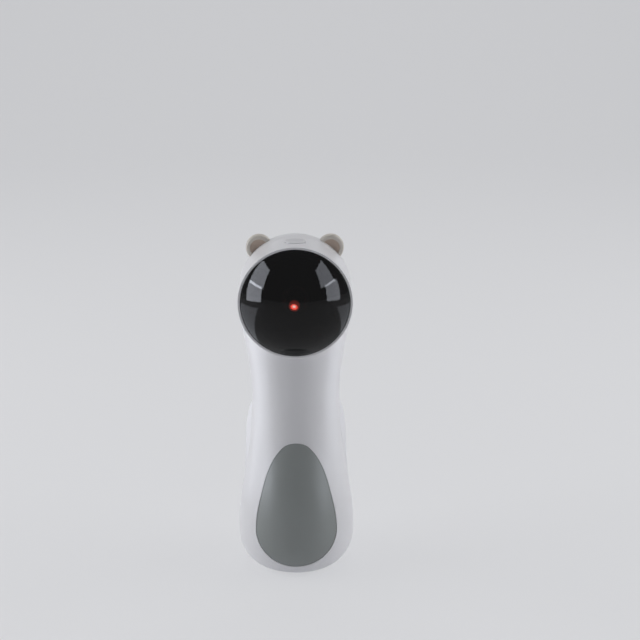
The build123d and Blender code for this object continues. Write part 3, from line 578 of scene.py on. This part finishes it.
@dataclass(frozen=True)
class LitLens(Finish):
    """Laser lens alight: a red glow that is white hot in the middle.

    Attributes:
        glow: Colour of the light at the edge, as sRGB hex.
        core: Colour of the light in the middle, as sRGB hex.
        strength: Strength of the light.
        core_mm: Radius of the white-hot part.
        edge_mm: Radius at which the glow is red alone.
        ripple_mm: Width of the moulding's ripples.
    """

    glow: str = "#ff5c4c"
    core: str = "#ffe4da"
    strength: float = 34.0
    core_mm: float = 0.4
    edge_mm: float = 1.4
    ripple_mm: float = 0.5

    def shade(self, tree: Tree, shader: Node, place: Socket) -> None:
        """Fades the glow from the core to the edge, and adds a faint moulding texture to the gloss.

        Args:
            tree: The material's node tree.
            shader: Its main shader.
            place: Object coordinates, in metres.
        """
        fade = add_node(
            tree,
            "ShaderNodeMapRange",
            {
                "interpolation_type": "SMOOTHSTEP",
                "From Min": self.core_mm * MM,
                "From Max": self.edge_mm * MM,
            },
            {"Value": from_lens(tree, place)},
        )
        add_node(
            tree,
            "ShaderNodeMix",
            {"data_type": "RGBA", MIX_LOW_COLOUR: linear(self.core), MIX_HIGH_COLOUR: linear(self.glow)},
            {MIX_SHARE: fade.outputs["Result"]},
            {MIXED_COLOUR: shader.inputs["Emission Color"]},
        )
        shader.inputs["Emission Strength"].default_value = self.strength
        ripple = add_node(tree, "ShaderNodeTexNoise", {"Scale": per_metre(self.ripple_mm)}, {"Vector": place})
        add_node(
            tree,
            "ShaderNodeMapRange",
            {"To Min": self.roughness, "To Max": self.roughness * 2},
            {"Value": ripple.outputs["Fac"]},
            {"Result": shader.inputs["Roughness"]},
        )


@dataclass(frozen=True)
class PaintedGlowMouth(WorkedMetal):
    """Turned metal round the lens, with a painted red glow at its mouth that stands for the laser's scattered
    light.

    Attributes:
        glow: Colour of the painted glow, as sRGB hex.
        strength: Strength of the painted glow beside the lens.
        lens_mm: Distance from the lens's middle at which the light begins to fade.
        reach_mm: Distance from the lens's middle at which the light is gone.
    """

    glow: str = "#ff5c4c"
    strength: float = 8.0
    lens_mm: float = 1.5
    reach_mm: float = 4.0

    def shade(self, tree: Tree, shader: Node, place: Socket) -> None:
        """Adds the painted glow of the scattered light to the worked metal.

        Args:
            tree: The material's node tree.
            shader: Its main shader.
            place: Object coordinates, in metres.
        """
        super().shade(tree, shader, place)
        # Painted glow: emission on the metal itself, fading with distance from the lens
        shader.inputs["Emission Color"].default_value = linear(self.glow)
        add_node(
            tree,
            "ShaderNodeMapRange",
            {
                "From Min": self.lens_mm * MM,
                "From Max": self.reach_mm * MM,
                "To Min": self.strength,
                "To Max": 0.0,
            },
            {"Value": from_lens(tree, place)},
            {"Result": shader.inputs["Emission Strength"]},
        )


# Moulded plastics: even colours in a satin skin, which keeps highlights broad and soft
CASING_WHITE = MouldedPlastic("casing_white_abs", "#e9e9ec", 0.36, shade_colour="#e4e4e8", coat=0.15)
BUTTON_WHITE = MouldedPlastic("button_white_abs", "#dddde0", 0.34, shade_colour="#d6d6da", coat=0.15)
BELLY_GREY = MouldedPlastic("belly_grey_abs", "#8f9493", 0.33, shade_colour="#888d8c", coat=0.15)
EAR_STONE = MouldedPlastic("ear_stone_abs", "#d3cdc4", 0.45, shade_colour="#cbc5bc")
EAR_TAUPE = MouldedPlastic("ear_taupe_abs", "#c0ae9f", 0.55, shade_colour="#b7a496", grain_depth_mm=0.02)
SWITCH_BLACK = MouldedPlastic("switch_black_nylon", "#1b1b1d", 0.45, shade_colour="#202022")
PLUNGER_TAN = MouldedPlastic("plunger_tan_nylon", "#a58f6c", 0.4, shade_colour="#9c8764")
CHASSIS_GREY = MouldedPlastic(
    "chassis_grey_abs", "#3a3b3d", 0.5, shade_colour="#404143", grain_depth_mm=0.015
)
GEAR_IVORY = MouldedPlastic("gear_ivory_acetal", "#e2dcca", 0.38, shade_colour="#dad3bf")
RING_BLACK = MouldedPlastic("ring_black_nylon", "#202124", 0.42, shade_colour="#26272a")
CAP_IVORY = MouldedPlastic("cap_ivory_nylon", "#d7d0bb", 0.42, shade_colour="#cfc7b1")
CHIP_BLACK = MouldedPlastic("chip_black_epoxy", "#161618", 0.6, shade_colour="#1c1c1e", grain_depth_mm=0.03)

# Polished smoke: black, with sharp mirrored panes and the lit lens just showing through
DOME_SMOKE = SmokedDome("dome_smoked_polycarbonate", "#141212", 0.03)

# Metals: plating is dull and even, ground and turned metal shines along its lines, brass has brown tarnish
SCREW_STEEL = WorkedMetal("screw_zinc_plated_steel", "#b9bbbd", 0.3)
AXLE_STEEL = WorkedMetal("axle_ground_steel", "#c9cacb", 0.18, grain=Grain.TURNED)
MOTOR_STEEL = WorkedMetal("motor_rolled_steel", "#b4b5b7", 0.32, grain=Grain.ROLLED)
CONTACT_STEEL = WorkedMetal("contact_nickel_plated_steel", "#cfccc4", 0.22)
PINION_BRASS = WorkedMetal("pinion_turned_brass", "#c79d54", 0.28, grain=Grain.TURNED, tarnish="#8a6a34")
# The barrel's brass carries a painted red glow round the lens
BARREL_BRASS_PAINTED_GLOW = PaintedGlowMouth("barrel_turned_brass_painted_glow", "#c1964e", 0.26, grain=Grain.TURNED, tarnish="#8a6a34")
CAN_ALUMINIUM = WorkedMetal("can_drawn_aluminium", "#c4c5c7", 0.3, grain=Grain.ROLLED)

# Matt rubber, boards whose tracks show under gloss, sleeves with a copper end, and a hot red lens
PAD_RUBBER = FootRubber("pad_black_rubber", "#242424", 0.8)
BOARD_GREEN = SolderMask("board_green_solder_mask", "#14502c", 0.35)
CELL_SLEEVE = CellSleeve("cell_shrink_sleeve", "#2b2d31", 0.3)
LENS_LIT = LitLens("lens_red_acrylic", "#ff5040", 0.08)


def new_piece(name: str, points: np.ndarray, faces: np.ndarray, smooth: bool = True) -> bpy.types.Object:
    """Puts arrays of points and faces into a mesh object at the origin.

    Args:
        name: Name of the piece.
        points: Points, one row each, in metres.
        faces: Corner numbers, one row to a face.
        smooth: Whether the faces are shaded smooth.

    Returns:
        The new object, linked to the scene.
    """
    mesh = bpy.data.meshes.new(name)
    mesh.from_pydata(points.tolist(), [], faces.tolist())
    mesh.polygons.foreach_set("use_smooth", np.full(len(faces), smooth))
    mesh.update()
    piece = bpy.data.objects.new(name, mesh)
    bpy.context.scene.collection.objects.link(piece)
    return piece


def grid_faces(rows: int, columns: int, round_columns: bool) -> np.ndarray:
    """Numbers the quads of a grid.

    Args:
        rows: Points along the first parameter.
        columns: Points along the second parameter.
        round_columns: Whether the last column joins the first.

    Returns:
        Corner numbers, one row to a quad.
    """
    last = columns if round_columns else columns - 1
    row, column = np.meshgrid(np.arange(rows - 1), np.arange(last), indexing="ij")
    after = (column + 1) % columns
    near, far = row * columns, (row + 1) * columns
    return np.stack((near + column, near + after, far + after, far + column), axis=-1).reshape(-1, 4)


@dataclass
class Wardrobe:
    """Makes each finish once and puts it on pieces.

    Attributes:
        made: Materials by finish name.
    """

    made: dict[str, bpy.types.Material] = field(default_factory=dict)

    def dress(self, piece: bpy.types.Object, finish: Finish) -> None:
        """Gives a piece one finish.

        Args:
            piece: The piece.
            finish: Its finish.
        """
        if finish.name not in self.made:
            self.made[finish.name] = finish.material()
        piece.data.materials.clear()
        piece.data.materials.append(self.made[finish.name])
        LOG.info("%s: %s", piece.name, finish.name)


@dataclass
class SubAssembly:
    """Pieces that belong together.

    Attributes:
        finishes: Finish of each CAD node.
    """

    finishes: dict[str, Finish]

    def dress(self, wardrobe: Wardrobe) -> None:
        """Puts each node's finish on it, from the wardrobe given."""
        for name, finish in self.finishes.items():
            wardrobe.dress(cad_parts[name], finish)


@dataclass
class Casing(SubAssembly):
    """White casing, belly panel and foot."""

    finishes: dict[str, Finish] = field(
        default_factory=lambda: {
            "front_shell": CASING_WHITE,
            "rear_shell": CASING_WHITE,
            "battery_door": CASING_WHITE,
            "belly_panel": BELLY_GREY,
            "base_pad": PAD_RUBBER,
            "case_screws": SCREW_STEEL,
        }
    )


@dataclass
class Ears(SubAssembly):
    """Two round ears with their pads."""

    finishes: dict[str, Finish] = field(
        default_factory=lambda: {
            "left_ear": EAR_STONE,
            "right_ear": EAR_STONE,
            "left_ear_pad": EAR_TAUPE,
            "right_ear_pad": EAR_TAUPE,
        }
    )


@dataclass
class Face(SubAssembly):
    """Smoked dome over the laser.

    Attributes:
        height_mm: Height of the dome's axis.
        face_mm: Depth of the casing's face in front of the tower's axis.
        radius_mm: Radius of the dome's rim.
        rise_mm: Height of the cap.
        wall_mm: Thickness of the cap.
        rim_mm: Inner radius of the rim.
        seat_mm: Depth of the rim behind the face.
        leg_count: Number of snap legs behind the rim.
        leg_radius_mm: Distance from the axis to the legs.
        leg_thick_mm: Thickness of a leg.
        leg_wide_mm: Width of a leg.
        leg_long_mm: Length of a leg behind the rim.
        leg_root_mm: Depth that a leg goes into the rim.
        hook_reach_mm: Distance that a leg's hook stands out.
        hook_high_mm: Height of the hook.
        ease_mm: Distance from each sharp edge to the points that hold it sharp.
        edge_angle: Least angle of a sharp edge, in degrees.
        weld_mm: Distance within which the points at the poles are one.
    """

    finishes: dict[str, Finish] = field(default_factory=lambda: {"face_dome": DOME_SMOKE})
    height_mm: float = 174.5
    face_mm: float = 30.4
    radius_mm: float = 31.8
    rise_mm: float = 14.0
    wall_mm: float = 1.8
    rim_mm: float = 28.3
    seat_mm: float = 2.0
    leg_count: int = 4
    leg_radius_mm: float = 28.6
    leg_thick_mm: float = 1.0
    leg_wide_mm: float = 6.0
    leg_long_mm: float = 3.5
    leg_root_mm: float = 0.5
    hook_reach_mm: float = 0.9
    hook_high_mm: float = 1.2
    ease_mm: float = 0.05
    edge_angle: float = 50.0
    weld_mm: float = 0.01

    def section(self, steps: int) -> tuple[np.ndarray, np.ndarray]:
        """Works out the dome's half section.

        The outer side is an arc of the sphere of radius (r^2 + h^2) / 2h through the rim and the apex; the
        inner side is the same sphere less the wall, and the two are joined round the rim.

        Args:
            steps: Points along each arc.

        Returns:
            Radii, and depths in front of the tower's axis, in millimetres, from the outer apex to the inner.
        """
        sphere = (self.radius_mm**2 + self.rise_mm**2) / (2 * self.rise_mm)
        middle = self.face_mm + self.rise_mm - sphere
        inner = sphere - self.wall_mm
        share = np.linspace(0, 1, steps)
        outer_turn = share * math.asin(self.radius_mm / sphere)
        inner_turn = share[::-1] * math.asin(self.rim_mm / inner)
        back = self.face_mm - self.seat_mm
        front = self.face_mm - self.ease_mm
        lip = middle + inner * math.cos(inner_turn[0]) - self.ease_mm
        radii = np.concatenate(
            (
                sphere * np.sin(outer_turn),
                [self.radius_mm, self.radius_mm, self.rim_mm, self.rim_mm],
                inner * np.sin(inner_turn),
            )
        )
        depths = np.concatenate(
            (
                middle + sphere * np.cos(outer_turn),
                [front, back, back, lip],
                middle + inner * np.cos(inner_turn),
            )
        )
        return radii, depths

    def legs(self) -> tuple[np.ndarray, np.ndarray]:
        """Works out the snap legs.

        Each is a hooked outline of radius and depth, carried across its width w and turned about the face's
        axis to its place: x = r cos t - w sin t, z = r sin t + w cos t. Three quads close each end.

        Returns:
            Points in millimetres and the corner numbers of the quads, one row each.
        """
        inner = self.leg_radius_mm
        outer = inner + self.leg_thick_mm
        hook = outer + self.hook_reach_mm
        back = self.face_mm - self.seat_mm
        root = back + self.leg_root_mm
        tip = back - self.leg_long_mm
        ledge = tip + self.hook_high_mm
        radii = np.array([inner, outer, outer, hook, hook, outer, inner, inner])
        depths = np.array([root, root, ledge, ledge, tip, tip, tip, ledge])
        turns = np.pi / self.leg_count * (2 * np.arange(self.leg_count) + 1)
        widths = np.array([-0.5, 0.5]) * self.leg_wide_mm
        turn, width, step = np.meshgrid(turns, widths, np.arange(len(radii)), indexing="ij")
        points = np.stack(
            (
                radii[step] * np.cos(turn) - width * np.sin(turn),
                -depths[step],
                self.height_mm + radii[step] * np.sin(turn) + width * np.cos(turn),
            ),
            axis=-1,
        ).reshape(-1, 3)
        end = np.array([[0, 1, 2, 7], [7, 2, 5, 6], [2, 3, 4, 5]])
        leg = np.concatenate((grid_faces(2, len(radii), True), end[:, ::-1], end + len(radii)))
        starts = np.arange(self.leg_count) * 2 * len(radii)
        return points, (starts[:, None, None] + leg).reshape(-1, 4)

    def build(self, steps: int = 56, turns: int = 160) -> bpy.types.Object:
        """Turns the section about the face's axis, x = r cos t, z = r sin t, as one smooth closed skin.

        The legs are then joined to it, so that their roots leave no faces inside the rim.

        Args:
            steps: Points along each arc of the section.
            turns: Points round the axis.

        Returns:
            The dome, which stands for its CAD node.
        """
        radii, depths = self.section(steps)
        turn = np.arange(turns) * 2 * np.pi / turns
        ring, angle = np.meshgrid(np.arange(len(radii)), turn, indexing="ij")
        points = np.stack(
            (radii[ring] * np.cos(angle), -depths[ring], self.height_mm + radii[ring] * np.sin(angle)),
            axis=-1,
        )
        faces = grid_faces(len(radii), turns, True)[:, ::-1]
        dome = new_piece("dome_skin", points.reshape(-1, 3) * MM, faces)
        leg_points, leg_faces = self.legs()
        legs = new_piece("dome_legs", leg_points * MM, leg_faces)
        weld = dome.modifiers.new("poles", "WELD")
        weld.merge_threshold = self.weld_mm * MM
        union = dome.modifiers.new("legs", "BOOLEAN")
        union.operation = "UNION"
        union.solver = "EXACT"
        union.object = legs
        shape = dome.evaluated_get(bpy.context.evaluated_depsgraph_get())
        dome.data = bpy.data.meshes.new_from_object(shape)
        dome.modifiers.clear()
        bpy.data.objects.remove(legs)
        sharp = dome.modifiers.new("edges", "EDGE_SPLIT")
        sharp.split_angle = math.radians(self.edge_angle)
        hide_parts("face_dome")
        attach(dome, "tower")
        return dome

    def dress(self, wardrobe: Wardrobe) -> None:
        """Builds the dome's skin and gives it the dome's finish, from the wardrobe given."""
        super().dress(wardrobe)
        wardrobe.dress(self.build(), self.finishes["face_dome"])


@dataclass
class Crown(SubAssembly):
    """Button on the crown with its switch."""

    finishes: dict[str, Finish] = field(
        default_factory=lambda: {
            "crown_button": BUTTON_WHITE,
            "switch_plunger": PLUNGER_TAN,
            "tact_switch": SWITCH_BLACK,
            "switch_board": BOARD_GREEN,
            "switch_screws": SCREW_STEEL,
        }
    )


@dataclass
class Drive(SubAssembly):
    """Motor, gear train, rotor and laser."""

    finishes: dict[str, Finish] = field(
        default_factory=lambda: {
            "chassis": CHASSIS_GREY,
            "gear_plate": CHASSIS_GREY,
            "chassis_screws": SCREW_STEEL,
            "plate_screws": SCREW_STEEL,
            "gear_axles": AXLE_STEEL,
            "rotor_gear": GEAR_IVORY,
            "rotor_ring": RING_BLACK,
            "second_gear": GEAR_IVORY,
            "first_gear": GEAR_IVORY,
            "motor_pinion": PINION_BRASS,
            "motor_shaft": AXLE_STEEL,
            "motor_can": MOTOR_STEEL,
            "motor_end_cap": CAP_IVORY,
            "motor_terminals": CONTACT_STEEL,
            "laser_holder": RING_BLACK,
            "laser_barrel": BARREL_BRASS_PAINTED_GLOW,
            "laser_lens": LENS_LIT,
            "holder_ring": RING_BLACK,
            "driver_board": BOARD_GREEN,
        }
    )


@dataclass
class Electrics(SubAssembly):
    """Main board and the cells with their contacts."""

    finishes: dict[str, Finish] = field(
        default_factory=lambda: {
            "main_board": BOARD_GREEN,
            "controller_chip": CHIP_BLACK,
            "board_capacitor": CAN_ALUMINIUM,
            "board_plug": CAP_IVORY,
            "board_screws": SCREW_STEEL,
            "battery_cells": CELL_SLEEVE,
            "contact_leaves": CONTACT_STEEL,
            "contact_plates": CONTACT_STEEL,
        }
    )


class Role(Enum):
    """What a softbox does: whether it lights matt surfaces, whether gloss mirrors it, and its colour."""

    SHAPING = (True, False, "#ffffff")
    MIRRORED = (False, True, "#eff4ff")


@dataclass(frozen=True)
class Softbox:
    """Flat soft light.

    Attributes:
        name: Name of the light.
        place: Where it hangs, in metres.
        aim: Where it points, in metres.
        size: Width and height, in metres.
        radiance: Brightness of its face, where one is white.
        role: What it does.
    """

    name: str
    place: Place
    aim: Place
    size: tuple[float, float]
    radiance: float
    role: Role

    def hang(self) -> None:
        """Adds the light to the scene."""
        lamp = bpy.data.lights.new(self.name, "AREA")
        lamp.shape = "RECTANGLE"
        lamp.size, lamp.size_y = self.size
        lamp.energy = self.radiance * math.pi * self.size[0] * self.size[1]
        holder = bpy.data.objects.new(self.name, lamp)
        holder.location = self.place
        holder.rotation_euler = (Vector(self.aim) - Vector(self.place)).to_track_quat("-Z", "Y").to_euler()
        holder.visible_diffuse, holder.visible_glossy, colour = self.role.value
        holder.visible_camera = False
        lamp.color = linear(colour)[:3]
        bpy.context.scene.collection.objects.link(holder)


def pane(name: str, place: Place, size: tuple[float, float], radiance: float) -> Softbox:
    """Makes a card beside the tower that faces straight across it, as the dome mirrors it.

    Args:
        name: Name of the light.
        place: Where it hangs, in metres.
        size: Width and height, in metres.
        radiance: Brightness of its face, where one is white.

    Returns:
        The card.
    """
    return Softbox(name, place, (0.0, *place[1:]), size, radiance, Role.MIRRORED)


@dataclass
class Studio:
    """Pale floor that curves up to a backdrop, soft lights and the camera.

    Attributes:
        lights: The softboxes.
        eye: Where the camera stands, in metres.
        pitch: Angle that it looks down, in degrees.
        yaw: Angle that it looks to the right, in degrees.
        lens_mm: Focal length.
        film_mm: Width of the film.
        clip: Least and greatest distance that the camera sees, in metres.
        sheet: Colour of the floor's paper, as sRGB hex.
        sheet_roughness: Roughness of the paper.
        tooth_mm: Width of the paper's tooth.
        tooth_depth_mm: Depth of the tooth.
        paper: Colour that the backdrop shows, as sRGB hex.
        even_share: Share of the backdrop's look that is even; the rest keeps the shadow.
        front: Place along y where the floor begins, in metres.
        back: Place along y where it begins to curve up, in metres.
        bend: Radius of that curve, in metres.
        top: Height of the backdrop, in metres.
        half_width: Half the width of the sweep, in metres.
        air: Colour of the room's light, as sRGB hex.
        fill: Strength of the room's light on matt surfaces.
        gloss_fill: What gloss sees beyond that.
        seen_fill: What the camera sees beyond that.
    """

    lights: tuple[Softbox, ...] = (
        Softbox("left_side", (-1.1, 0.05, 0.45), (0.0, 0.0, 0.2), (1.0, 0.9), 2.5, Role.SHAPING),
        Softbox("right_side", (1.1, 0.05, 0.45), (0.0, 0.0, 0.2), (1.0, 0.9), 2.15, Role.SHAPING),
        Softbox("overhead", (0.0, 0.3, 1.3), (0.0, 0.0, 0.1), (1.0, 1.0), 1.15, Role.SHAPING),
        pane("left_high", (-1.0, -0.495, 0.83), (0.61, 0.78), 7.4),
        pane("left_low", (-1.0, -0.46, 0.23), (0.56, 0.42), 8.3),
        pane("left_gap", (-0.99, -0.45, 0.44), (0.53, 0.062), 18.0),
        pane("right_high", (1.0, -0.77, 1.01), (0.7, 0.93), 4.8),
        pane("right_low", (1.0, -0.585, 0.295), (0.55, 0.5), 5.9),
        pane("right_gap", (0.99, -0.61, 0.545), (0.5, 0.062), 11.5),
        Softbox("left_skirt", (-0.382, 0.0, 0.02), (-0.42, 0.046, 1.0), (0.46, 0.35), 1.7, Role.MIRRORED),
        Softbox("right_skirt", (0.408, 0.041, 0.02), (0.441, 0.091, 1.0), (0.42, 0.35), 1.3, Role.MIRRORED),
    )
    eye: Place = (0.0, -0.8, 0.395)
    pitch: float = 16.66
    yaw: float = 1.06
    lens_mm: float = 78.36
    film_mm: float = 36.0
    clip: tuple[float, float] = (0.01, 50.0)
    sheet: str = "#eeeef0"
    sheet_roughness: float = 0.7
    tooth_mm: float = 1.2
    tooth_depth_mm: float = 0.05
    paper: str = "#dddee1"
    even_share: float = 0.7
    front: float = -2.6
    back: float = 1.4
    bend: float = 0.9
    top: float = 3.2
    half_width: float = 4.0
    air: str = "#f4f5f8"
    fill: float = 0.17
    gloss_fill: float = 0.25
    seen_fill: float = 0.45

    def floor(self, steps: int = 24) -> bpy.types.Object:
        """Builds the sweep: flat, then a quarter circle, then upright, carried along x.

        Args:
            steps: Points along the quarter circle.

        Returns:
            The floor.
        """
        turn = np.linspace(0, np.pi / 2, steps)
        wall = self.back + self.bend
        along = np.concatenate(([self.front, 0.0], self.back + self.bend * np.sin(turn), [wall]))
        up = np.concatenate(([0.0, 0.0], self.bend - self.bend * np.cos(turn), [self.top]))
        sides = np.array([-self.half_width, self.half_width])
        side, step = np.meshgrid(sides, np.arange(len(along)), indexing="ij")
        points = np.stack((side, along[step], up[step]), axis=-1).reshape(-1, 3)
        sweep = new_piece("floor_sweep", points, grid_faces(2, len(along), False)[:, ::-1])
        return sweep

    def floor_material(self) -> bpy.types.Material:
        """Makes a pale matt paper with a faint tooth, which looks evenly lit to the eye and in gloss.

        Returns:
            The new material.
        """
        material = bpy.data.materials.new("backdrop_paper")
        material.use_nodes = True
        tree = material.node_tree
        shader = tree.nodes["Principled BSDF"]
        shader.inputs["Base Color"].default_value = linear(self.sheet)
        shader.inputs["Roughness"].default_value = self.sheet_roughness
        rays = add_node(tree, "ShaderNodeLightPath")
        mirrored = add_node(
            tree,
            "ShaderNodeMath",
            {"operation": "MAXIMUM"},
            {0: rays.outputs["Is Glossy Ray"], 1: rays.outputs["Is Transmission Ray"]},
        )
        seen = add_node(
            tree,
            "ShaderNodeMath",
            {"operation": "MAXIMUM"},
            {0: rays.outputs["Is Camera Ray"], 1: mirrored.outputs[0]},
        )
        share = add_node(
            tree,
            "ShaderNodeMath",
            {"operation": "MULTIPLY", 1: self.even_share},
            {0: seen.outputs[0]},
        )
        even = add_node(tree, "ShaderNodeEmission", {"Color": linear(self.paper), "Strength": 1.0})
        add_node(
            tree,
            "ShaderNodeMixShader",
            None,
            {0: share.outputs[0], 1: shader.outputs[0], 2: even.outputs[0]},
            {0: tree.nodes["Material Output"].inputs["Surface"]},
        )
        place = add_node(tree, "ShaderNodeTexCoord").outputs["Object"]
        tooth = add_node(tree, "ShaderNodeTexNoise", {"Scale": per_metre(self.tooth_mm)}, {"Vector": place})
        add_node(
            tree,
            "ShaderNodeBump",
            {"Distance": self.tooth_depth_mm * MM},
            {"Height": tooth.outputs["Fac"]},
            {"Normal": shader.inputs["Normal"]},
        )
        return material

    def world(self) -> None:
        """Fills the room with an even pale light, which looks brighter to the eye and in gloss."""
        world = bpy.data.worlds.new("room")
        world.use_nodes = True
        sky = world.node_tree.nodes["Background"]
        sky.inputs["Color"].default_value = linear(self.air)
        rays = add_node(world.node_tree, "ShaderNodeLightPath")
        mirrored = add_node(
            world.node_tree,
            "ShaderNodeMath",
            {"operation": "MULTIPLY_ADD", 1: self.gloss_fill, 2: self.fill},
            {0: rays.outputs["Is Glossy Ray"]},
        )
        add_node(
            world.node_tree,
            "ShaderNodeMath",
            {"operation": "MULTIPLY_ADD", 1: self.seen_fill},
            {0: rays.outputs["Is Camera Ray"], 2: mirrored.outputs[0]},
            {0: sky.inputs["Strength"]},
        )
        bpy.context.scene.world = world

    def camera(self) -> None:
        """Stands the camera where the photograph was taken from."""
        data = bpy.data.cameras.new("photo_camera")
        data.lens = self.lens_mm
        data.sensor_width = self.film_mm
        data.clip_start, data.clip_end = self.clip
        eye = bpy.data.objects.new("photo_camera", data)
        eye.location = self.eye
        eye.rotation_euler = (math.radians(90 - self.pitch), 0.0, math.radians(-self.yaw))
        bpy.context.scene.collection.objects.link(eye)
        bpy.context.scene.camera = eye

    def build(self) -> None:
        """Sets up the whole studio."""
        self.floor().data.materials.append(self.floor_material())
        for light in self.lights:
            light.hang()
        self.world()
        self.camera()
        bpy.context.scene.view_settings.view_transform = "Standard"


def main() -> None:
    """Dresses every node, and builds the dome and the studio."""
    logging.basicConfig(level=logging.INFO, format="%(message)s")
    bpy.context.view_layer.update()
    wardrobe = Wardrobe()
    for assembly in (Casing(), Ears(), Face(), Crown(), Drive(), Electrics()):
        assembly.dress(wardrobe)
    Studio().build()


if __name__ == "__main__":
    main()
